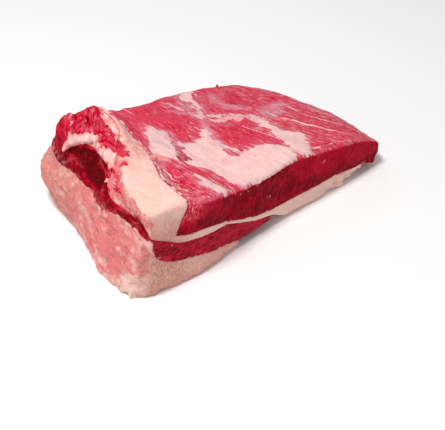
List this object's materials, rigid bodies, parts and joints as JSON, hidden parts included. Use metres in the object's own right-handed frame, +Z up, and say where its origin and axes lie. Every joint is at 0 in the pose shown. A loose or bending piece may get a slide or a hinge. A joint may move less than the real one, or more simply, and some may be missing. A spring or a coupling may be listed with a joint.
{
  "type": "boneless beef brisket",
  "caption": "Raw boneless beef brisket: a fat cap, a lower muscle, a seam of fat that swells into a thick wedge, and a broad upper muscle, lying fat side down.",
  "frame": {"origin": "middle of the joint's footprint, on the surface that it lies on", "axes": "+X along the long cut side from the thick fatty end to the thin end, +Y from the cut side to the back, +Z up"},
  "size_m": [0.3398, 0.2027, 0.1054],
  "materials": {
    "pink_fat": "moist pink outer fat",
    "dark_meat": "moist dark red lean meat",
    "cream_fat": "waxy cream hard fat",
    "red_meat": "moist red lean meat"
  },
  "bodies": {
    "root": {"fat_cap": "pink_fat", "lower_muscle": "dark_meat", "seam_fat": "cream_fat", "upper_muscle": "red_meat"}
  },
  "joints": []
}
